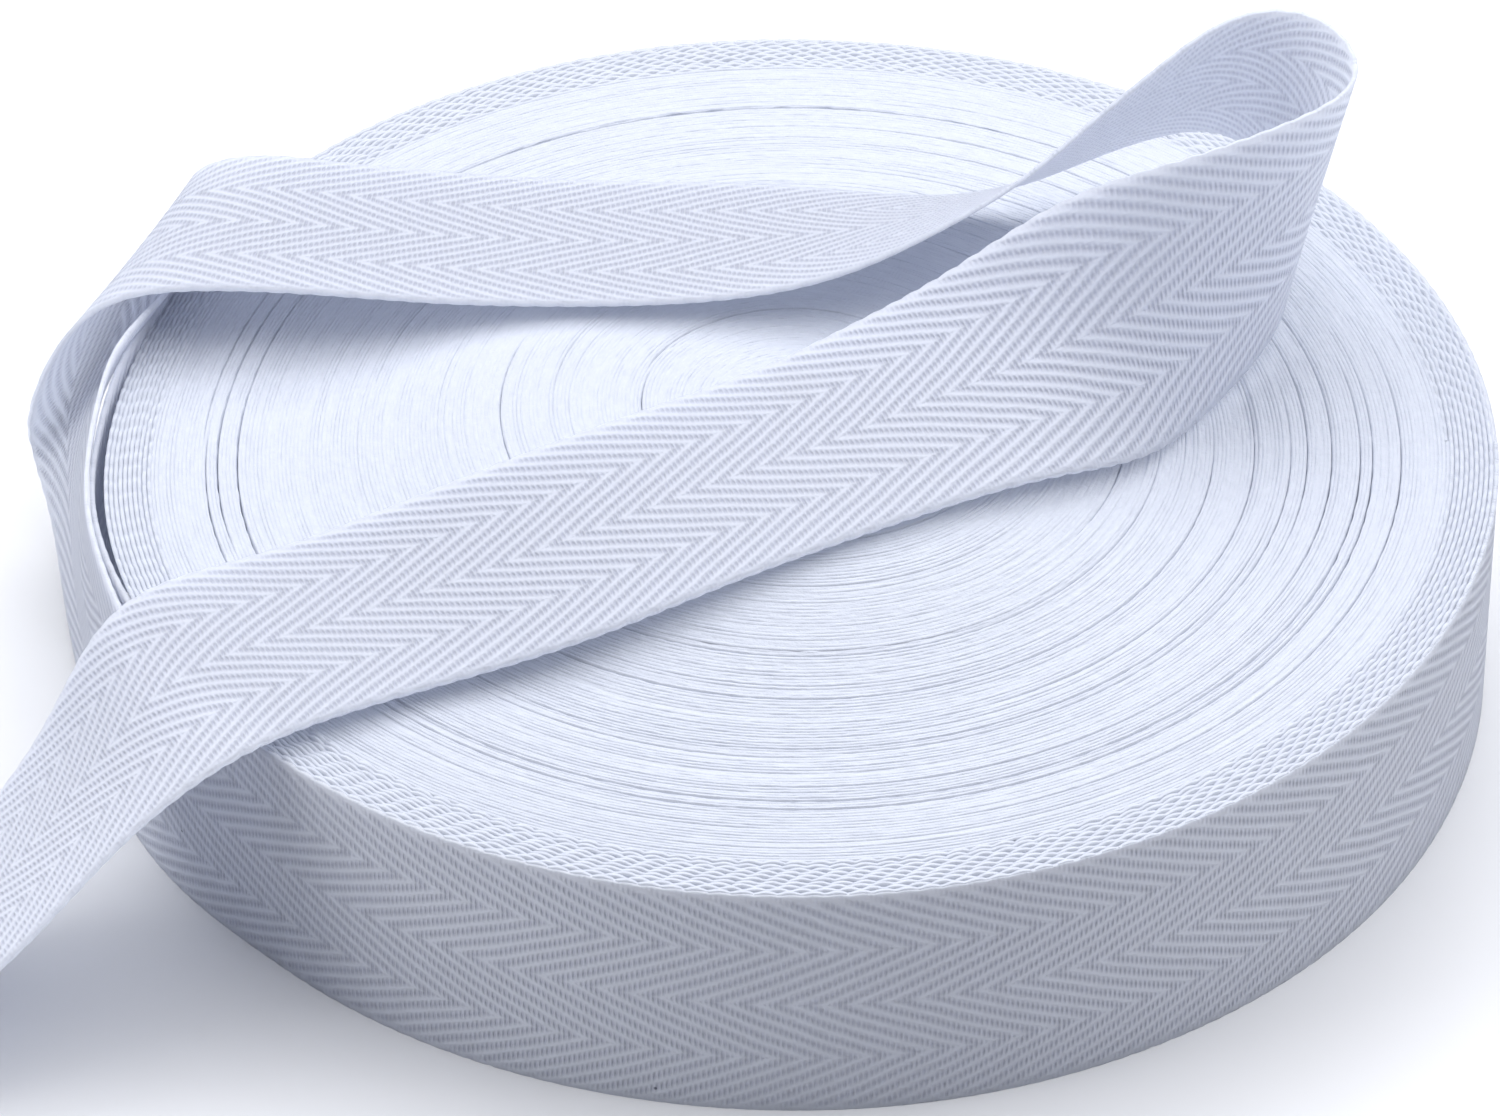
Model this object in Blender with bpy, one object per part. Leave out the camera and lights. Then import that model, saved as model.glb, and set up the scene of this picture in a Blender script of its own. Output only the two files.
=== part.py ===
"""Roll of white cotton herringbone tape, wound flat, with its last half metre come loose.

The roll stands on its flat side at the origin, +Z up. The outer end leaves the wall at the
front left, goes round the left side, folds over at the back left, lies across the top, stands
up in one loop at the back right and comes back over the top to lie on the table at the left.
"""
import math

import bmesh
import bpy
import numpy as np

MM = 0.001

# The tape and the roll, in millimetres.
TAPE_WIDTH = 25.0
SHEET_THICKNESS = 1.0
ROLL_RADIUS = 65.2
ROLL_HEIGHT = TAPE_WIDTH
EDGE_ROUND = 0.8
ROLL_SEGMENTS = 128

# The wall is pressed flatter at the left, where the loose turn stands off it.
FLAT_DEPTH = 2.5
FLAT_ANGLE = 165.0
FLAT_SPREAD = 22.0

# The middle turns have ridden up into a low dome.
DOME_HEIGHT = 4.3
DOME_CENTRE = (-3.0, 1.0)
DOME_FULL_RADIUS = 18.0
DOME_END_RADIUS = 46.0

# White cotton with a cool cast.
COTTON_COLOUR = (0.72, 0.75, 0.86)
COTTON_ROUGHNESS = 0.9

# How finely the loose end is divided.
SECTION_STEP = 3.0
CROSS_DIVISIONS = 4
SMOOTHING = 0.8

# Sections across the loose end, in order from the wall to the cut end (mm).
# near x, y, z: the selvedge that is uppermost on the wall; far x, y, z: the other selvedge.
SECTIONS = (
    # on the wall, going back round the left side
    (-47.2, -46.7, 25.0, -47.2, -46.7, 0.0),
    (-57.3, -34.2, 25.0, -57.3, -34.2, 0.0),
    (-63.0, -21.2, 25.0, -64.0, -20.2, 0.3),
    (-65.8, -7.2, 25.5, -67.8, -5.0, 1.0),
    # the lower selvedge swings out and up
    (-65.2, 4.0, 27.0, -70.0, 6.0, 3.0),
    (-63.2, 11.5, 28.3, -71.5, 14.0, 6.0),
    (-59.5, 18.0, 28.4, -72.8, 18.0, 9.5),
    (-57.0, 25.0, 28.5, -72.6, 17.0, 14.5),
    # the soft fold at the back left
    (-57.0, 32.5, 27.2, -71.6, 15.5, 20.0),
    (-59.0, 37.0, 25.6, -69.6, 15.0, 26.0),
    (-58.7, 38.7, 27.6, -65.3, 13.7, 30.3),
    (-53.3, 38.8, 29.8, -58.3, 13.2, 32.0),
    # lying across the back of the top
    (-44.0, 38.8, 28.8, -47.0, 13.5, 31.7),
    (-32.0, 38.5, 27.5, -34.0, 14.0, 30.5),
    (-20.0, 37.5, 27.3, -21.0, 13.3, 30.8),
    (-8.0, 36.7, 27.6, -8.5, 13.0, 31.7),
    # the front selvedge lifts off
    (4.0, 36.0, 27.4, 4.0, 13.0, 34.5),
    (14.0, 35.5, 27.2, 13.5, 14.0, 39.0),
    (22.0, 36.5, 28.2, 21.5, 16.0, 43.5),
    (29.5, 39.5, 29.5, 28.0, 19.5, 48.0),
    # the standing loop at the back right
    (36.0, 40.0, 31.5, 34.0, 22.0, 52.5),
    (42.0, 38.5, 32.5, 40.5, 25.0, 56.2),
    (46.0, 33.0, 32.0, 46.5, 25.0, 57.2),
    (47.0, 26.5, 31.0, 51.0, 22.0, 56.7),
    (47.0, 20.0, 30.0, 52.5, 17.5, 55.0),
    (46.0, 14.0, 28.7, 50.5, 14.5, 54.0),
    (43.5, 9.5, 27.5, 45.0, 12.0, 52.5),
    # coming back towards the front left, leaning over until it lies flat
    (39.5, 4.0, 27.0, 38.0, 10.0, 50.2),
    (35.0, -1.5, 27.8, 30.0, 9.0, 46.8),
    (30.5, -6.5, 28.7, 23.0, 10.5, 42.0),
    (25.0, -10.5, 29.8, 15.5, 10.0, 37.0),
    (17.0, -15.5, 30.2, 7.5, 7.8, 34.0),
    (7.0, -20.5, 30.1, -2.0, 2.8, 31.6),
    (-5.0, -27.2, 29.8, -14.0, -3.8, 31.0),
    (-18.0, -33.3, 28.3, -27.2, -10.8, 29.8),
    (-31.0, -38.0, 26.8, -40.2, -15.6, 26.8),
    (-42.0, -43.4, 26.9, -51.2, -21.2, 26.3),
    # over the front left rim and down to the table
    (-51.0, -49.2, 26.5, -61.3, -28.2, 26.1),
    (-59.0, -54.5, 22.0, -67.6, -31.8, 17.0),
    (-67.0, -60.0, 15.5, -74.8, -37.4, 8.8),
    (-76.0, -64.5, 8.5, -83.6, -41.3, 3.2),
    (-85.0, -69.0, 3.5, -93.0, -45.5, 1.0),
    (-94.0, -73.0, 1.0, -102.5, -49.5, 0.5),
    (-103.0, -77.5, 0.5, -112.0, -54.0, 0.5),
)


def clear_scene():
    """Remove whatever objects the file opens with."""
    for old in list(bpy.data.objects):
        bpy.data.objects.remove(old, do_unlink=True)


def cloth_material(name, colour, roughness):
    """A plain material for woven cotton."""
    material = bpy.data.materials.new(name)
    material.use_nodes = True
    shader = material.node_tree.nodes["Principled BSDF"]
    shader.inputs["Base Color"].default_value = (*colour, 1.0)
    shader.inputs["Roughness"].default_value = roughness
    shader.inputs["Metallic"].default_value = 0.0
    material.diffuse_color = (*colour, 1.0)
    return material


def object_from(bm, name, material):
    """Turn a bmesh into a smooth-shaded object of the given name."""
    mesh = bpy.data.meshes.new(name)
    bmesh.ops.recalc_face_normals(bm, faces=bm.faces[:])
    bm.to_mesh(mesh)
    bm.free()
    mesh.materials.append(material)
    mesh.polygons.foreach_set("use_smooth", [True] * len(mesh.polygons))
    mesh.set_sharp_from_angle(angle=math.radians(40.0))
    placed = bpy.data.objects.new(name, mesh)
    bpy.context.scene.collection.objects.link(placed)
    return placed


def wall_inset(angle):
    """How far the wall is pressed in at a plan angle, in mm."""
    off = (math.degrees(angle) - FLAT_ANGLE + 180.0) % 360.0 - 180.0
    return FLAT_DEPTH * math.exp(-((off / FLAT_SPREAD) ** 2))


def top_height(x, y):
    """Height of the top of the roll at a plan point, in mm."""
    reach = math.hypot(x - DOME_CENTRE[0], y - DOME_CENTRE[1])
    fall = (reach - DOME_FULL_RADIUS) / (DOME_END_RADIUS - DOME_FULL_RADIUS)
    fall = min(max(fall, 0.0), 1.0)
    return ROLL_HEIGHT + 0.5 * DOME_HEIGHT * (1.0 + math.cos(math.pi * fall))


def ring(bm, radius, height):
    """One closed ring of points; a height of None follows the top of the roll."""
    points = []
    for step in range(ROLL_SEGMENTS):
        angle = 2.0 * math.pi * step / ROLL_SEGMENTS
        reach = radius - wall_inset(angle) * (radius / ROLL_RADIUS) ** 4
        x = reach * math.cos(angle)
        y = reach * math.sin(angle)
        z = top_height(x, y) if height is None else height
        points.append(bm.verts.new((x * MM, y * MM, z * MM)))
    return points


def join_rings(bm, lower, upper):
    """Quads between two rings."""
    for step in range(ROLL_SEGMENTS):
        after = (step + 1) % ROLL_SEGMENTS
        bm.faces.new((lower[step], lower[after], upper[after], upper[step]))


def build_roll(material):
    """The wound body: flat underneath, upright wall, low dome on top."""
    bm = bmesh.new()
    half_round = EDGE_ROUND * (1.0 - math.sqrt(0.5))
    rings = [
        ring(bm, ROLL_RADIUS - EDGE_ROUND, 0.0),
        ring(bm, ROLL_RADIUS - half_round, half_round),
        ring(bm, ROLL_RADIUS, EDGE_ROUND),
        ring(bm, ROLL_RADIUS, ROLL_HEIGHT - EDGE_ROUND),
        ring(bm, ROLL_RADIUS - half_round, ROLL_HEIGHT - half_round),
        ring(bm, ROLL_RADIUS - EDGE_ROUND, ROLL_HEIGHT),
    ]
    dome_radii = np.arange(50.0, 3.0, -4.0)
    rings += [ring(bm, float(radius), None) for radius in dome_radii]
    for lower, upper in zip(rings, rings[1:]):
        join_rings(bm, lower, upper)
    bm.faces.new(rings[0][::-1])
    bm.faces.new(rings[-1])
    bmesh.ops.triangulate(bm, faces=[face for face in bm.faces if len(face.verts) > 4])
    return object_from(bm, "roll", material)


def natural_spline(knots, values, places):
    """Cubic spline through the rows of values, straight at both ends."""
    gaps = np.diff(knots)
    slopes = np.diff(values, axis=0) / gaps[:, None]
    count = len(knots)
    system = np.eye(count)
    right = np.zeros_like(values)
    for row in range(1, count - 1):
        system[row, row - 1] = gaps[row - 1]
        system[row, row] = 2.0 * (gaps[row - 1] + gaps[row])
        system[row, row + 1] = gaps[row]
        right[row] = 6.0 * (slopes[row] - slopes[row - 1])
    bends = np.linalg.solve(system, right)
    span = np.clip(np.searchsorted(knots, places, side="right") - 1, 0, count - 2)
    after = (places - knots[span])[:, None]
    before = (knots[span + 1] - places)[:, None]
    width = gaps[span][:, None]
    curve = (bends[span] * before ** 3 + bends[span + 1] * after ** 3) / (6.0 * width)
    chord = (values[span] / width - bends[span] * width / 6.0) * before
    chord += (values[span + 1] / width - bends[span + 1] * width / 6.0) * after
    return curve + chord


def smooth_rows(rows, sigma):
    """Even out the rows with a bell-shaped average, holding the end rows."""
    reach = int(math.ceil(4.0 * sigma))
    offsets = np.arange(-reach, reach + 1)
    weights = np.exp(-0.5 * (offsets / sigma) ** 2)
    weights /= weights.sum()
    padded = np.pad(rows, ((reach, reach), (0, 0)), mode="edge")
    length = len(rows)
    return sum(weight * padded[shift:shift + length] for shift, weight in enumerate(weights))


def tape_grid():
    """Middle surface of the loose end: rows along it, points across it, in mm."""
    table = np.array(SECTIONS)
    middle = 0.5 * (table[:, :3] + table[:, 3:])
    run = np.concatenate(([0.0], np.cumsum(np.linalg.norm(np.diff(middle, axis=0), axis=1))))
    count = int(round(run[-1] / SECTION_STEP)) + 1
    rows = natural_spline(run, table, np.linspace(0.0, run[-1], count))
    rows = smooth_rows(rows, SMOOTHING)
    middle = 0.5 * (rows[:, :3] + rows[:, 3:])
    across = rows[:, 3:] - rows[:, :3]
    across /= np.linalg.norm(across, axis=1)[:, None]
    places = np.linspace(-0.5, 0.5, CROSS_DIVISIONS + 1) * TAPE_WIDTH
    grid = middle[:, None, :] + across[:, None, :] * places[None, :, None]
    along = np.gradient(grid, axis=0)
    face = np.cross(along, across[:, None, :])
    face /= np.linalg.norm(face, axis=2)[:, :, None]
    floor = 0.5 * SHEET_THICKNESS * np.abs(face[:, :, 2])
    grid[:, :, 2] = np.maximum(grid[:, :, 2], floor)
    return grid


def build_loose_end(material):
    """The loose end as one sheet of even thickness."""
    bm = bmesh.new()
    rows = [[bm.verts.new(tuple(point * MM)) for point in row] for row in tape_grid()]
    for row, following in zip(rows, rows[1:]):
        for place in range(CROSS_DIVISIONS):
            bm.faces.new((row[place], following[place], following[place + 1], row[place + 1]))
    sheet = object_from(bm, "loose_end", material)
    thicken = sheet.modifiers.new("thickness", "SOLIDIFY")
    thicken.thickness = SHEET_THICKNESS * MM
    thicken.offset = 0.0
    thicken.use_even_offset = False
    return sheet


clear_scene()
build_roll(cloth_material("roll_cotton", COTTON_COLOUR, COTTON_ROUGHNESS))
build_loose_end(cloth_material("loose_end_cotton", COTTON_COLOUR, COTTON_ROUGHNESS))
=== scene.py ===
"""Roll of white cotton herringbone tape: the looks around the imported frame."""

import math

import bmesh
import bpy
import numpy as np
from mathutils import Matrix, Vector


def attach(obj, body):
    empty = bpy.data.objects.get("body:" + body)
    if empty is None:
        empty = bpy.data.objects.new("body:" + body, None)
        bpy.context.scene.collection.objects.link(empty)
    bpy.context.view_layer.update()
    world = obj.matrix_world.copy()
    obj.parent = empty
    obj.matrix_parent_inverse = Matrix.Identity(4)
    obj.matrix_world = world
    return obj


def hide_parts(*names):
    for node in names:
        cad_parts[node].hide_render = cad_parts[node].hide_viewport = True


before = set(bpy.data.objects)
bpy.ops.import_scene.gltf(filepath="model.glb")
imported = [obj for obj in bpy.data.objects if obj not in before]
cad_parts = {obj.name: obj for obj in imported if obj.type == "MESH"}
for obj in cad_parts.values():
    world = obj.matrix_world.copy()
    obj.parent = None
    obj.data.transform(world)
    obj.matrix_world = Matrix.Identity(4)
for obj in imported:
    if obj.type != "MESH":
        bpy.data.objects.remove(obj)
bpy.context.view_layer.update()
RNG = np.random.default_rng(7)

MM = 0.001

# ---------------------------------------------------------------- the real sizes, in mm
TAPE_WIDTH = 25.0
TAPE_THICKNESS = 0.45
TURN_PITCH = 0.38
ROLL_RADIUS = 65.2
LAST_TURN_RADIUS = 65.62
ROLL_HEIGHT = 25.0
CENTRE_HOLE = 1.6

# The turns are drawn in three strips; the outer one is looser and more scalloped.
SPLIT_RADIUS = 33.0
RIM_START = 60.6
RIM_PITCH = 0.46

# The body is pressed flatter at the left, and its middle has ridden up into a low dome.
FLAT_DEPTH = 1.7
FLAT_ANGLE = 165.0
FLAT_SPREAD = 22.0
DOME_HEIGHT = 4.3
DOME_CENTRE = (-3.0, 1.0)
DOME_FULL_RADIUS = 18.0
DOME_END_RADIUS = 46.0

# Weave: ribs of the twill, four bands of herringbone, and the little scallops of the selvedge.
RIB_ALONG = 2.80
RIB_ACROSS = 1.39
BAND_WIDTH = 6.25
PICK_SPACING = 0.47
SCALLOP_LENGTH = 2.05
SCALLOP_DEPTH = 0.16

# Where the tape leaves the wall, as a plan angle.
LEAVE_ANGLE = 225.0

# Sections across the loose end, from the wall to the cut end (mm).
# near x, y, z: the selvedge that is uppermost on the wall; far x, y, z: the other selvedge.
SECTIONS = (
    # on the wall, going back round the left side
    (-46.4, -46.4, 25.0, -46.4, -46.4, 0.0),
    (-57.3, -34.2, 25.0, -57.3, -34.2, 0.0),
    (-63.0, -21.2, 25.0, -64.0, -20.2, 0.3),
    (-65.8, -7.2, 25.5, -67.8, -5.0, 1.0),
    # the lower selvedge swings out and up
    (-65.2, 4.0, 27.0, -70.0, 6.0, 3.0),
    (-63.2, 11.5, 28.3, -71.5, 14.0, 6.0),
    (-59.5, 18.0, 28.4, -72.8, 18.0, 9.5),
    (-57.0, 25.0, 28.5, -72.6, 17.0, 14.5),
    # the soft fold at the back left
    (-57.0, 32.5, 27.2, -71.6, 15.5, 20.0),
    (-59.0, 37.0, 25.6, -69.6, 15.0, 26.0),
    (-58.7, 38.7, 27.6, -65.3, 13.7, 30.3),
    (-53.3, 38.8, 29.8, -58.3, 13.2, 32.0),
    # lying across the back of the top
    (-44.0, 38.8, 28.8, -47.0, 13.5, 31.7),
    (-32.0, 38.5, 27.5, -34.0, 14.0, 30.5),
    (-20.0, 37.5, 27.3, -21.0, 13.3, 30.8),
    (-8.0, 36.7, 27.6, -8.5, 13.0, 31.7),
    # the front selvedge lifts off
    (4.0, 36.0, 27.4, 4.0, 13.0, 34.5),
    (14.0, 35.5, 27.2, 13.5, 14.0, 39.0),
    (22.0, 36.5, 28.2, 21.5, 16.0, 43.5),
    (29.5, 39.5, 29.5, 28.0, 19.5, 48.0),
    # the standing loop at the back right
    (36.0, 40.0, 31.5, 34.0, 22.0, 52.5),
    (42.0, 38.5, 32.5, 40.5, 25.0, 56.2),
    (46.0, 33.0, 32.0, 46.5, 25.0, 57.2),
    (47.0, 26.5, 31.0, 51.0, 22.0, 56.7),
    (47.0, 20.0, 30.0, 52.5, 17.5, 55.0),
    (46.0, 14.0, 28.7, 50.5, 14.5, 54.0),
    (43.5, 9.5, 27.5, 45.0, 12.0, 52.5),
    # coming back towards the front left, leaning over until it lies flat
    (39.5, 4.0, 27.0, 38.0, 10.0, 50.2),
    (35.0, -1.5, 27.8, 30.0, 9.0, 46.8),
    (30.5, -6.5, 28.7, 23.0, 10.5, 42.0),
    (25.0, -10.5, 29.8, 15.5, 10.0, 37.0),
    (17.0, -15.5, 30.2, 7.5, 7.8, 34.0),
    (7.0, -20.5, 30.1, -2.0, 2.8, 31.6),
    (-5.0, -27.2, 29.8, -14.0, -3.8, 31.0),
    (-18.0, -33.3, 28.3, -27.2, -10.8, 29.8),
    (-31.0, -38.0, 26.8, -40.2, -15.6, 26.8),
    (-42.0, -43.4, 26.9, -51.2, -21.2, 26.3),
    # over the front left rim and down to the table
    (-51.0, -49.2, 26.5, -61.3, -28.2, 26.1),
    (-59.0, -54.5, 22.0, -67.6, -31.8, 17.0),
    (-67.0, -60.0, 15.5, -74.8, -37.4, 8.8),
    (-76.0, -64.5, 8.5, -83.6, -41.3, 3.2),
    (-85.0, -69.0, 3.5, -93.0, -45.5, 1.0),
    (-94.0, -73.0, 1.0, -102.5, -49.5, 0.5),
    (-103.0, -77.5, 0.5, -112.0, -54.0, 0.5),
)


# ---------------------------------------------------------------- materials
def linear(code):
    """An sRGB hex colour as linear red, green, blue and alpha."""
    parts = [int(code[place:place + 2], 16) / 255.0 for place in (1, 3, 5)]
    return (*[c / 12.92 if c <= 0.04045 else ((c + 0.055) / 1.055) ** 2.4 for c in parts], 1.0)


def new_material(name):
    """An empty material with its shader, ready for a recipe."""
    material = bpy.data.materials.new(name)
    material.use_nodes = True
    return material, material.node_tree.nodes["Principled BSDF"]


def add(material, kind, links=(), values=(), **settings):
    """Adds a node, with (input, source socket) links, (input, value) values and settings."""
    node = material.node_tree.nodes.new("ShaderNode" + kind)
    for setting, value in settings.items():
        setattr(node, setting, value)
    for place, value in values:
        node.inputs[place].default_value = value
    for place, source in links:
        material.node_tree.links.new(source, node.inputs[place])
    return node


def join(material, source, socket):
    """Links one socket to another."""
    material.node_tree.links.new(source, socket)


COTTON_LIGHT = "#F1F4FB"
# Painted shade for the weave's grooves and dots, mixed in by the groove depth.
COTTON_GROOVE_PAINTED_SHADE = "#DEE1EC"
SEED_SPECK = "#6E7083"
# Both edge colours are darker than the tape's own cotton: painted shade among the packed turns,
# with a random strand tone between the two.
EDGE_LIGHT = "#C9CED9"
EDGE_SHADE = "#BCC1CE"

# Share of the light that each face of the tape lets through.
LET_THROUGH = 0.52

# Sockets of a Mix node that mixes colours.
MIX_A = 6
MIX_B = 7
MIX_RESULT = 2


def woven_tape():
    """Bleached cotton herringbone tape, shuttle woven: matt ribs, dotted where the picks cross."""
    material, shader = new_material("woven_cotton_tape")
    place = add(material, "UVMap", uv_map="tape")
    parts = add(material, "SeparateXYZ", links=[(0, place.outputs["UV"])])
    along = add(material, "Math", operation="MULTIPLY", links=[(0, parts.outputs["X"])],
                values=[(1, 1.0 / MM)]).outputs[0]
    across = add(material, "Math", operation="MULTIPLY", links=[(0, parts.outputs["Y"])],
                 values=[(1, 1.0 / MM)]).outputs[0]
    drift = add(material, "TexNoise", links=[("Vector", place.outputs["UV"])],
                values=[("Scale", 160.0), ("Detail", 2.0)])
    zigzag = add(material, "Math", operation="PINGPONG", links=[(0, across)],
                 values=[(1, BAND_WIDTH)]).outputs[0]
    climb = add(material, "Math", operation="DIVIDE", links=[(0, zigzag)],
                values=[(1, RIB_ACROSS)]).outputs[0]
    run = add(material, "Math", operation="DIVIDE", links=[(0, along)],
              values=[(1, RIB_ALONG)]).outputs[0]
    phase = add(material, "Math", operation="ADD", links=[(0, climb), (1, run)]).outputs[0]
    phase = add(material, "Math", operation="MULTIPLY_ADD",
                links=[(0, drift.outputs[0]), (2, phase)], values=[(1, 0.3)]).outputs[0]
    # Each rib is broad and rounded, with a soft groove beside it.
    beside = add(material, "Math", operation="PINGPONG", links=[(0, phase)],
                 values=[(1, 0.5)]).outputs[0]
    rib = add(material, "MapRange", interpolation_type="SMOOTHSTEP", links=[(0, beside)],
              values=[(1, -0.05), (2, 0.5), (3, 0.0), (4, 1.0)]).outputs[0]
    # One row of dots runs along each groove; neighbouring rows are half a pick apart.
    number = add(material, "Math", operation="ROUND", links=[(0, phase)]).outputs[0]
    picks = add(material, "Math", operation="DIVIDE", links=[(0, along)],
                values=[(1, PICK_SPACING)]).outputs[0]
    picks = add(material, "Math", operation="MULTIPLY_ADD", links=[(0, number), (2, picks)],
                values=[(1, 0.5)]).outputs[0]
    dot = add(material, "Math", operation="PINGPONG", links=[(0, picks)],
              values=[(1, 0.5)]).outputs[0]
    dot = add(material, "MapRange", interpolation_type="SMOOTHSTEP", links=[(0, dot)],
              values=[(1, 0.0), (2, 0.5), (3, 0.0), (4, 1.0)]).outputs[0]
    # The grooves are deepest where the dots fall.
    low = add(material, "Math", operation="SUBTRACT", values=[(0, 1.0)],
              links=[(1, rib)]).outputs[0]
    dotted = add(material, "Math", operation="MULTIPLY_ADD", links=[(0, dot)],
                 values=[(1, 0.75), (2, 0.3)]).outputs[0]
    groove = add(material, "Math", operation="MULTIPLY", links=[(0, low), (1, dotted)]).outputs[0]
    # The selvedges are plain weave, so the ribs fade to a quarter there.
    rim = add(material, "Math", operation="PINGPONG", links=[(0, across)],
              values=[(1, TAPE_WIDTH / 2)]).outputs[0]
    inside = add(material, "MapRange", interpolation_type="SMOOTHSTEP", links=[(0, rim)],
                 values=[(1, 0.25), (2, 1.0), (3, 0.25), (4, 1.0)]).outputs[0]
    groove = add(material, "Math", operation="MULTIPLY",
                 links=[(0, groove), (1, inside)]).outputs[0]
    # Uneven yarn, thick and thin.
    stretch = add(material, "Mapping", links=[("Vector", place.outputs["UV"])],
                  values=[("Scale", (900.0, 2600.0, 1.0))])
    yarn = add(material, "TexNoise", links=[("Vector", stretch.outputs[0])],
               values=[("Scale", 1.0), ("Detail", 2.0)])
    fuzz = add(material, "TexNoise", links=[("Vector", place.outputs["UV"])],
               values=[("Scale", 2400.0), ("Detail", 3.0), ("Roughness", 0.6)])
    depth = add(material, "Math", operation="MULTIPLY_ADD",
                links=[(0, yarn.outputs[0]), (2, groove)], values=[(1, -0.35)]).outputs[0]
    depth = add(material, "Math", operation="MULTIPLY_ADD",
                links=[(0, fuzz.outputs[0]), (2, depth)], values=[(1, -0.25)]).outputs[0]
    relief = add(material, "Bump", links=[("Height", depth)],
                 values=[("Strength", 1.0), ("Distance", 0.0003)], invert=True)
    join(material, relief.outputs[0], shader.inputs["Normal"])
    # Colour: clean ribs, with painted shade darker and cooler in the grooves and dots, and a seed
    # speck here and there.
    mixed = blend(material, groove, COTTON_LIGHT, COTTON_GROOVE_PAINTED_SHADE)
    colour = speckled(material, mixed, place.outputs["UV"])
    join(material, colour, shader.inputs["Base Color"])
    finish_cotton(shader)
    # The tape is thin enough for some light to come through.
    through = add(material, "BsdfTranslucent", links=[("Color", colour)])
    sheet = add(material, "MixShader", values=[(0, LET_THROUGH)],
                links=[(1, shader.outputs[0]), (2, through.outputs[0])])
    output = material.node_tree.nodes["Material Output"]
    join(material, sheet.outputs[0], output.inputs["Surface"])
    return material


def blend(material, share, first, second):
    """A colour between two sRGB hex colours, by a share from a socket."""
    node = add(material, "Mix", data_type="RGBA", links=[("Factor", share)],
               values=[(MIX_A, linear(first)), (MIX_B, linear(second))])
    return node.outputs[MIX_RESULT]


def speckled(material, colour, vector):
    """The colour with sparse dark bits of seed, about a quarter of a millimetre across."""
    cells = add(material, "TexVoronoi", feature="F1", links=[("Vector", vector)],
                values=[("Scale", 150.0)])
    near = add(material, "MapRange", links=[(0, cells.outputs["Distance"])],
               values=[(1, 0.018), (2, 0.03), (3, 1.0), (4, 0.0)]).outputs[0]
    pick = add(material, "SeparateColor", links=[(0, cells.outputs["Color"])])
    chosen = add(material, "Math", operation="GREATER_THAN", links=[(0, pick.outputs[0])],
                 values=[(1, 0.9)]).outputs[0]
    both = add(material, "Math", operation="MULTIPLY", links=[(0, near), (1, chosen)]).outputs[0]
    share = add(material, "Math", operation="MULTIPLY", links=[(0, both)],
                values=[(1, 0.75)]).outputs[0]
    node = add(material, "Mix", data_type="RGBA", links=[("Factor", share), (MIX_A, colour)],
               values=[(MIX_B, linear(SEED_SPECK))])
    return node.outputs[MIX_RESULT]


def finish_cotton(shader):
    """Bleached cotton is matt, with a soft bloom of loose fibres."""
    shader.inputs["Roughness"].default_value = 0.92
    shader.inputs["IOR"].default_value = 1.46
    shader.inputs["Specular IOR Level"].default_value = 0.2
    shader.inputs["Sheen Weight"].default_value = 0.1
    shader.inputs["Sheen Roughness"].default_value = 0.5


def turn_edges():
    """The selvedges of the wound turns seen end on: soft, felted together, a little uneven. Their
    colours are darker than the tape's cotton: painted shade among the packed turns.
    """
    material, shader = new_material("wound_cotton_edges")
    place = add(material, "UVMap", uv_map="tape")
    stretch = add(material, "Mapping", links=[("Vector", place.outputs["UV"])],
                  values=[("Scale", (650.0, 1900.0, 1.0))])
    strands = add(material, "TexNoise", links=[("Vector", stretch.outputs[0])],
                  values=[("Scale", 1.0), ("Detail", 3.0), ("Roughness", 0.6)])
    solid = add(material, "TexCoord")
    fuzz = add(material, "TexNoise", links=[("Vector", solid.outputs["Object"])],
               values=[("Scale", 1500.0), ("Detail", 3.0), ("Roughness", 0.65)])
    depth = add(material, "Math", operation="MULTIPLY_ADD",
                links=[(0, strands.outputs[0]), (2, fuzz.outputs[0])],
                values=[(1, 1.2)]).outputs[0]
    relief = add(material, "Bump", links=[("Height", depth)],
                 values=[("Strength", 0.4), ("Distance", 0.00026)])
    join(material, relief.outputs[0], shader.inputs["Normal"])
    shade = add(material, "MapRange", links=[(0, strands.outputs[0])],
                values=[(1, 0.35), (2, 0.65), (3, 0.45), (4, 0.0)]).outputs[0]
    mixed = blend(material, shade, EDGE_LIGHT, EDGE_SHADE)
    colour = speckled(material, mixed, solid.outputs["Object"])
    join(material, colour, shader.inputs["Base Color"])
    finish_cotton(shader)
    return material


def table_top():
    """A plain pale table, matt."""
    material, shader = new_material("pale_table")
    place = add(material, "TexCoord")
    grain = add(material, "TexNoise", links=[("Vector", place.outputs["Object"])],
                values=[("Scale", 40.0), ("Detail", 2.0)])
    colour = blend(material, grain.outputs[0], "#E3E4E6", "#E5E6E8")
    join(material, colour, shader.inputs["Base Color"])
    shader.inputs["Roughness"].default_value = 0.95
    shader.inputs["Specular IOR Level"].default_value = 0.1
    return material


# ---------------------------------------------------------------- shapes
def grid_piece(name, points, coordinates, material, body="root"):
    """A smooth mesh over a grid of points in mm, with tape coordinates in mm along and across."""
    rows, columns = points.shape[:2]
    index = np.arange(rows * columns).reshape(rows, columns)
    corner = np.stack([index[:-1, :-1], index[1:, :-1], index[1:, 1:], index[:-1, 1:]], -1)
    faces = corner.reshape(-1, 4)
    mesh = bpy.data.meshes.new(name)
    mesh.from_pydata((points.reshape(-1, 3) * MM).tolist(), [], faces.tolist())
    layer = mesh.uv_layers.new(name="tape")
    flat = coordinates.reshape(-1, 2) * MM
    layer.data.foreach_set("uv", flat[faces.reshape(-1)].astype(np.float32).ravel())
    mesh.polygons.foreach_set("use_smooth", [True] * len(mesh.polygons))
    mesh.materials.append(material)
    piece = bpy.data.objects.new(name, mesh)
    bpy.context.scene.collection.objects.link(piece)
    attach(piece, body)
    return piece


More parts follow.
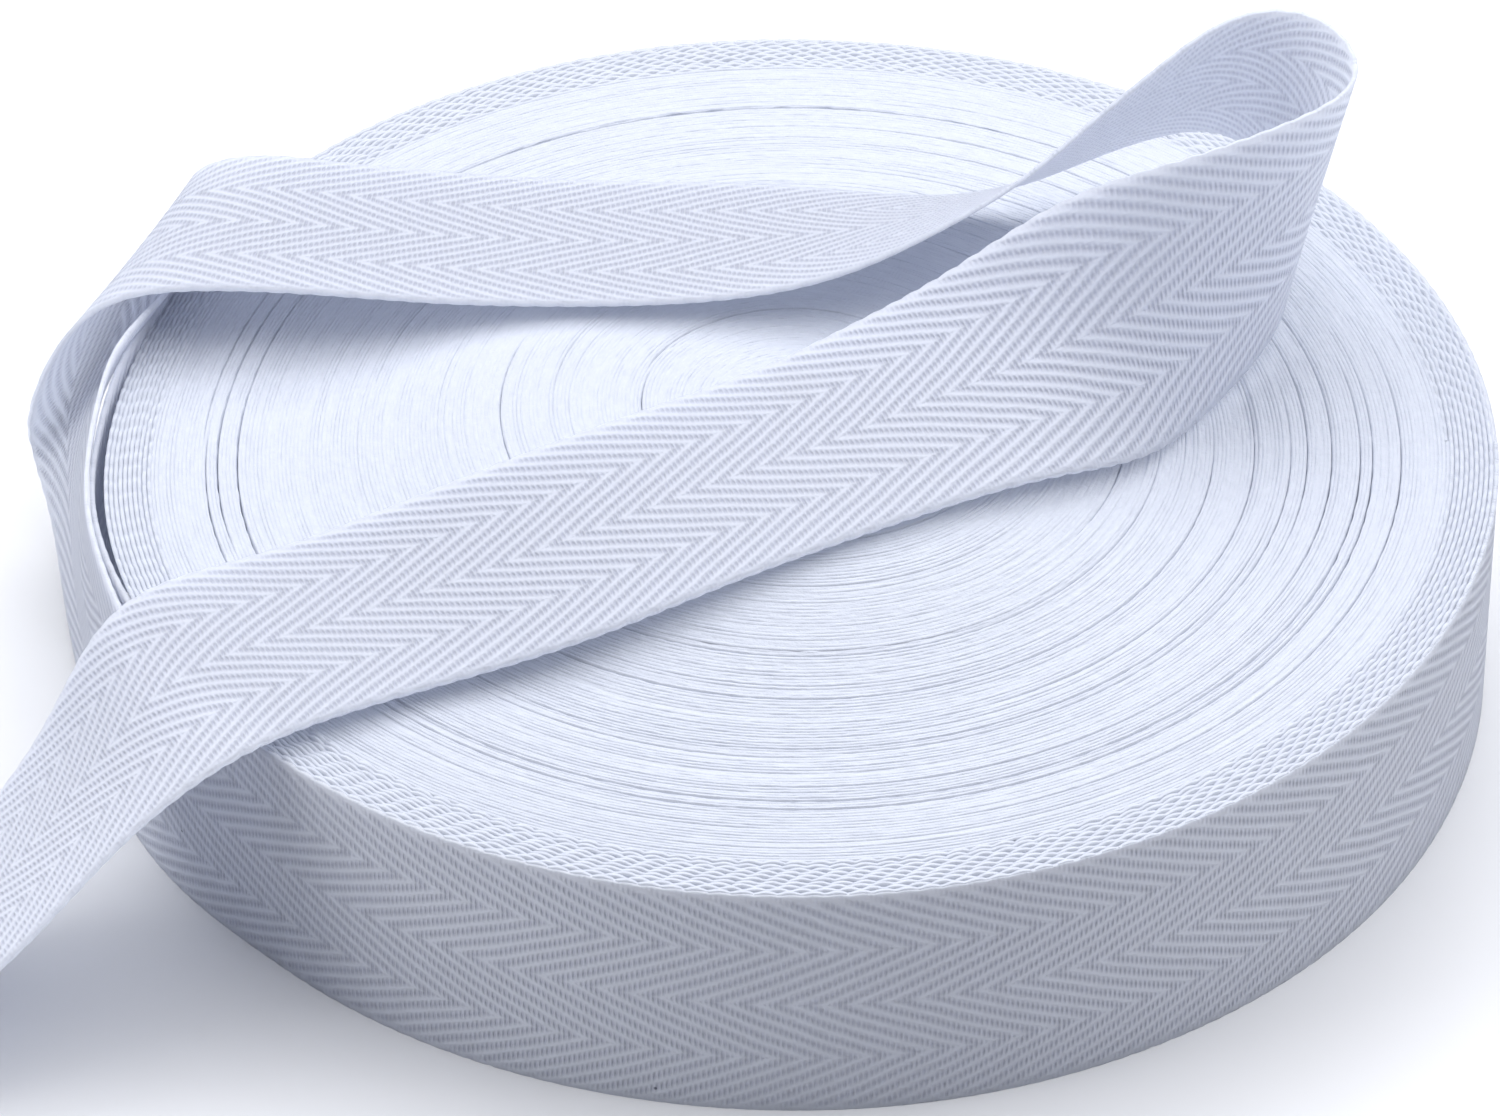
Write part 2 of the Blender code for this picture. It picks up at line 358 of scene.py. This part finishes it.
def wavy(angle, waves, seed):
    """A gentle uneven wave round the roll, between about -1 and 1."""
    draw = np.random.default_rng(seed)
    total = np.zeros_like(angle)
    for wave in waves:
        total += np.sin(wave * angle + draw.uniform(0, 2 * math.pi)) * draw.uniform(0.5, 1.0)
    return total / len(waves)


def wall_inset(angle):
    """How far the wall is pressed in at a plan angle in radians, in mm."""
    off = (np.degrees(angle) - FLAT_ANGLE + 180.0) % 360.0 - 180.0
    return FLAT_DEPTH * np.exp(-((off / FLAT_SPREAD) ** 2))


def top_height(x, y):
    """Height of the top of the roll at plan points, in mm."""
    reach = np.hypot(x - DOME_CENTRE[0], y - DOME_CENTRE[1])
    fall = np.clip((reach - DOME_FULL_RADIUS) / (DOME_END_RADIUS - DOME_FULL_RADIUS), 0.0, 1.0)
    return ROLL_HEIGHT + 0.5 * DOME_HEIGHT * (1.0 + np.cos(math.pi * fall))


def natural_spline(knots, values, places):
    """Cubic spline through the rows of values, straight at both ends."""
    gaps = np.diff(knots)
    slopes = np.diff(values, axis=0) / gaps[:, None]
    count = len(knots)
    system = np.eye(count)
    right = np.zeros_like(values)
    for row in range(1, count - 1):
        system[row, row - 1] = gaps[row - 1]
        system[row, row] = 2.0 * (gaps[row - 1] + gaps[row])
        system[row, row + 1] = gaps[row]
        right[row] = 6.0 * (slopes[row] - slopes[row - 1])
    bends = np.linalg.solve(system, right)
    span = np.clip(np.searchsorted(knots, places, side="right") - 1, 0, count - 2)
    after = (places - knots[span])[:, None]
    before = (knots[span + 1] - places)[:, None]
    width = gaps[span][:, None]
    curve = (bends[span] * before ** 3 + bends[span + 1] * after ** 3) / (6.0 * width)
    chord = (values[span] / width - bends[span] * width / 6.0) * before
    chord += (values[span + 1] / width - bends[span + 1] * width / 6.0) * after
    return curve + chord


def smooth_rows(rows, sigma):
    """Even out the rows with a bell-shaped average, holding the end rows."""
    reach = int(math.ceil(4.0 * sigma))
    offsets = np.arange(-reach, reach + 1)
    weights = np.exp(-0.5 * (offsets / sigma) ** 2)
    weights /= weights.sum()
    padded = np.pad(rows, ((reach, reach), (0, 0)), mode="edge")
    length = len(rows)
    return sum(weight * padded[shift:shift + length] for shift, weight in enumerate(weights))


def scallop(run, share):
    """The selvedge's little outward waves at a run along the tape, in mm."""
    wave = np.abs(np.sin(math.pi * run / SCALLOP_LENGTH))
    return SCALLOP_DEPTH * share * (wave - 0.6)


def thicken(piece):
    """Give a sheet the tape's own thickness."""
    layer = piece.modifiers.new("tape_thickness", "SOLIDIFY")
    layer.thickness = TAPE_THICKNESS * MM
    layer.offset = 0.0
    layer.use_even_offset = False
    return piece


def last_turn_rows():
    """Rows for the last turn on the wall, in order up to where it comes loose."""
    start = math.radians(LEAVE_ANGLE)
    angle = np.radians(np.arange(LEAVE_ANGLE + 360.0, LEAVE_ANGLE + 0.9, -1.8))
    degrees = np.degrees(angle) - 360.0
    turned = (angle - start) / (2.0 * math.pi)
    # At the left it stands off the body and has ridden up under the fold.
    held_off = np.exp(-(((degrees - 186.0) / 17.0) ** 2))
    reach = LAST_TURN_RADIUS - wall_inset(angle) + held_off - TURN_PITCH * turned
    reach += 0.12 * wavy(angle, (3, 5, 8), 3)
    x = reach * np.cos(angle)
    y = reach * np.sin(angle)
    ridden_up = 0.8 * np.exp(-(((degrees - 158.0) / 11.0) ** 2))
    ridden_up += 1.5 * np.exp(-(((degrees - 172.0) / 7.0) ** 2))
    top = TAPE_WIDTH + 0.12 * wavy(angle, (4, 7, 11), 5) + ridden_up
    return np.stack([x, y, top, x, y, ridden_up], -1)


def tape_run(rows):
    """Distance along the middle of the tape at each row."""
    middle = 0.5 * (rows[:, :3] + rows[:, 3:])
    return np.concatenate(([0.0], np.cumsum(np.linalg.norm(np.diff(middle, axis=0), axis=1))))


def resample(rows, step):
    """The same run of tape at even steps."""
    run = tape_run(rows)
    places = np.linspace(0.0, run[-1], int(round(run[-1] / step)) + 1)
    return natural_spline(run, rows, places)


def loose_tape(material):
    """The last turn and the loose end, one length of tape up to its square end."""
    loose = smooth_rows(resample(np.array(SECTIONS), 2.0), 1.2)
    wound = last_turn_rows()
    rows = resample(np.concatenate([wound, loose[1:]]), 0.5)
    run = tape_run(rows)
    run -= tape_run(np.concatenate([wound, loose[:1]]))[-1]
    middle = 0.5 * (rows[:, :3] + rows[:, 3:])
    across = rows[:, 3:] - rows[:, :3]
    across /= np.linalg.norm(across, axis=1)[:, None]
    columns = 20
    share = np.linspace(-0.5, 0.5, columns + 1)
    width = TAPE_WIDTH + 2.0 * scallop(run, 1.0)
    places = np.broadcast_to(share * TAPE_WIDTH, (len(run), columns + 1)).copy()
    places[:, 0] = -0.5 * width
    places[:, -1] = 0.5 * width
    grid = middle[:, None, :] + across[:, None, :] * places[:, :, None]
    along = np.gradient(grid, axis=0)
    face = np.cross(along, np.broadcast_to(across[:, None, :], along.shape))
    face /= np.linalg.norm(face, axis=2)[:, :, None]
    floor = 0.5 * TAPE_THICKNESS * np.abs(face[:, :, 2])
    grid[:, :, 2] = np.maximum(grid[:, :, 2], floor)
    coordinates = np.zeros(grid.shape[:2] + (2,))
    coordinates[:, :, 0] = run[:, None]
    coordinates[:, :, 1] = TAPE_WIDTH / 2 - share[None, :] * TAPE_WIDTH
    piece = grid_piece("loose_tape", grid, coordinates, material)
    thicken(piece)
    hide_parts("loose_end", "roll")
    return piece


# Gaps between turns where the winding has slackened, in mm and degrees of plan angle.
SLACK_GAPS = (
    # radius, middle, half spread, depth, width
    (14.5, 60.0, 150.0, 0.8, 0.16),
    (21.0, 250.0, 60.0, 0.4, 0.10),
    (27.5, 200.0, 40.0, 0.5, 0.12),
    (31.0, 20.0, 50.0, 0.4, 0.10),
    (34.0, 285.0, 60.0, 0.5, 0.12),
    (39.1, 280.0, 70.0, 1.0, 0.20),
    (40.5, 100.0, 60.0, 0.9, 0.18),
    (43.0, 330.0, 60.0, 0.5, 0.12),
    (45.4, 275.0, 60.0, 1.0, 0.22),
    (46.4, 300.0, 60.0, 0.7, 0.16),
    (47.9, 30.0, 45.0, 0.9, 0.18),
    (50.2, 10.0, 40.0, 0.9, 0.18),
    (52.7, 178.0, 32.0, 1.4, 0.30),
    (54.3, 176.0, 34.0, 1.5, 0.34),
    (55.8, 174.0, 30.0, 1.2, 0.26),
    (53.5, 95.0, 50.0, 2.2, 0.40),
    (52.6, 285.0, 75.0, 1.8, 0.34),
    (53.9, 295.0, 70.0, 1.3, 0.28),
    (56.5, 330.0, 40.0, 0.8, 0.18),
)


def wound_turns(name, inner, outer, per_turn, material, pitch=TURN_PITCH, waviness=0.0,
                lift=0.0):
    """The upper selvedges of the turns between two radii, as one spiral strip."""
    turns = int(round((outer - inner) / pitch))
    count = turns * per_turn + per_turn + 1
    step = np.arange(count)
    angle = 2.0 * math.pi * step / per_turn
    turn = step / per_turn
    base = inner + pitch * turn
    wobble = 0.35 * wavy(angle, (1, 2, 3, 5), 11) * np.clip(base / 30.0, 0.2, 1.0)
    knots = count // 40 + 3
    uneven = np.interp(step / 40.0, np.arange(knots), RNG.normal(0.0, 1.0, knots))
    fine = RNG.normal(0.0, 1.0, count)
    fine = np.convolve(fine, np.ones(3) / 3.0, mode="same")
    number = np.floor(turn).astype(int)
    per_number = RNG.normal(0.0, 1.0, turns + 3)
    crest = 0.02 * np.interp(turn, np.arange(len(per_number)), per_number)
    crest = crest + 0.02 * uneven + 0.03 * fine + lift
    depth = 0.02 + 0.02 * np.abs(uneven) + 0.14 * waviness
    gap = np.zeros(count)
    degrees = np.degrees(angle) % 360.0
    broken = np.clip(0.7 + 0.9 * wavy(angle, (23, 61, 97, 149), 21), 0.0, 1.0)
    for radius, middle, spread, deep, wide in SLACK_GAPS:
        nearest = np.clip((0.5 - np.abs(base - radius) / pitch) * 20.0, 0.0, 1.0)
        off = (degrees - middle + 180.0) % 360.0 - 180.0
        inside = np.clip(1.2 - np.abs(off) / spread, 0.0, 1.0) * nearest
        depth = depth + deep * np.minimum(inside * 2.0, 1.0) * broken
        gap = np.maximum(gap, wide * np.minimum(inside * 2.0, 1.0) * broken)
    run = np.cumsum(np.full(count, 2.0 * math.pi / per_turn) * base)
    phase = RNG.uniform(0.0, SCALLOP_LENGTH, turns + 3)[number]
    crest = crest + waviness * scallop(run + phase, 1.6)
    offsets = np.stack([np.zeros(count), 0.07 + 0.5 * gap, pitch - 0.05 - 0.2 * gap], -1)
    heights = np.stack([-depth, crest, crest + 0.02], -1)
    inset = wall_inset(angle) * (base / ROLL_RADIUS) ** 4
    radius = (base + wobble - inset)[:, None] + offsets
    x = radius * np.cos(angle)[:, None]
    y = radius * np.sin(angle)[:, None]
    z = top_height(x, y) + heights - 0.05
    points = np.stack([x, y, z], -1)
    coordinates = np.stack([np.repeat(run[:, None], 3, 1), radius], -1)
    # Each turn meets the next one out, so its strip has four columns.
    strip = np.concatenate([points[:-per_turn], points[per_turn:, :1]], axis=1)
    places = np.concatenate([coordinates[:-per_turn], coordinates[:-per_turn, 2:]], axis=1)
    piece = grid_piece(name, strip, places, material)
    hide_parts("roll")
    return piece


def underside(material):
    """The flat side it lies on: the lower selvedges, pressed level by the table."""
    radii = np.concatenate([np.linspace(0.01, 64.4, 60), [65.0, 65.15]])
    angle = np.linspace(0.0, 2.0 * math.pi, 181)
    height = 0.15 + 0.1 * np.sin(radii * 2.0 * math.pi / 2.2)
    height[-1] = 0.6
    inset = wall_inset(angle)[:, None] * (radii[None, :] / ROLL_RADIUS) ** 4
    reach = radii[None, :] - inset
    grid = np.stack([reach * np.cos(angle)[:, None], reach * np.sin(angle)[:, None],
                     np.broadcast_to(height[None, :], reach.shape)], -1)
    places = np.stack([angle[:, None] * radii[None, :], reach], -1)
    piece = grid_piece("underside", grid[:, ::-1], places[:, ::-1], material)
    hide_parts("roll")
    return piece


# ---------------------------------------------------------------- table, light, camera
def floor(material):
    """The pale table the roll lies on."""
    size = 6.0
    bm = bmesh.new()
    bmesh.ops.create_grid(bm, x_segments=8, y_segments=8, size=size)
    mesh = bpy.data.meshes.new("table")
    bm.to_mesh(mesh)
    bm.free()
    mesh.materials.append(material)
    piece = bpy.data.objects.new("table", mesh)
    bpy.context.scene.collection.objects.link(piece)


def area_light(name, place, aim, size, power, colour):
    """A soft rectangular light."""
    data = bpy.data.lights.new(name, "AREA")
    data.shape = "RECTANGLE"
    data.size, data.size_y = size
    data.energy = power
    data.color = linear(colour)[:3]
    lamp = bpy.data.objects.new(name, data)
    lamp.location = place
    lamp.rotation_euler = (Vector(aim) - Vector(place)).to_track_quat("-Z", "Y").to_euler()
    bpy.context.scene.collection.objects.link(lamp)


def studio():
    """Soft white light, mostly from behind and above, and a pale room."""
    area_light("back_softbox", (-0.15, 0.75, 0.95), (0.0, 0.0, 0.02), (1.1, 0.8), 5.5, "#FFFFFF")
    area_light("overhead_softbox", (0.1, 0.2, 0.85), (0.0, 0.0, 0.0), (1.5, 1.2), 11.0, "#FCFCFF")
    area_light("left_softbox", (-0.9, -0.1, 0.35), (0.0, 0.0, 0.02), (0.6, 0.5), 3.8, "#FFFFFF")
    area_light("right_softbox", (0.9, 0.05, 0.35), (0.0, 0.0, 0.02), (0.6, 0.5), 3.0, "#FFFFFF")
    world = bpy.data.worlds.new("room")
    world.use_nodes = True
    world.node_tree.nodes["Background"].inputs["Color"].default_value = linear("#F2F4FC")
    world.node_tree.nodes["Background"].inputs["Strength"].default_value = 0.34
    bpy.context.scene.world = world


def camera():
    """Long lens, looking down at 38 degrees from the front."""
    distance = 0.7679
    elevation = 0.6667
    data = bpy.data.cameras.new("camera")
    data.sensor_width = 36.0
    data.lens = 195.0
    data.clip_start = 0.05
    data.clip_end = 50.0
    forward = Vector((0.0, math.cos(elevation), -math.sin(elevation)))
    right = Vector((1.0, 0.0, 0.0))
    up = right.cross(forward)
    place = Vector((0.0, 0.0, 0.0125)) - forward * distance
    turn = Matrix.Rotation(0.00542, 3, up)
    forward, right = turn @ forward, turn @ right
    nod = Matrix.Rotation(-0.00179, 3, right)
    forward = nod @ forward
    up = right.cross(forward)
    roll = 0.00366
    across = math.cos(roll) * right + math.sin(roll) * up
    upward = math.cos(roll) * up - math.sin(roll) * right
    turned = Matrix((across, upward, -forward)).transposed().to_4x4()
    turned.translation = place
    eye = bpy.data.objects.new("camera", data)
    eye.matrix_world = turned
    bpy.context.scene.collection.objects.link(eye)
    bpy.context.scene.camera = eye


TAPE = woven_tape()
EDGES = turn_edges()
wound_turns("inner_turns", CENTRE_HOLE, SPLIT_RADIUS, 300, EDGES)
wound_turns("middle_turns", SPLIT_RADIUS, RIM_START, 440, EDGES, waviness=0.12)
wound_turns("rim_turns", RIM_START, ROLL_RADIUS, 1200, EDGES, pitch=RIM_PITCH,
            waviness=1.0, lift=0.08)
underside(EDGES)
loose_tape(TAPE)
floor(table_top())
studio()
camera()
bpy.context.scene.view_settings.view_transform = "Standard"
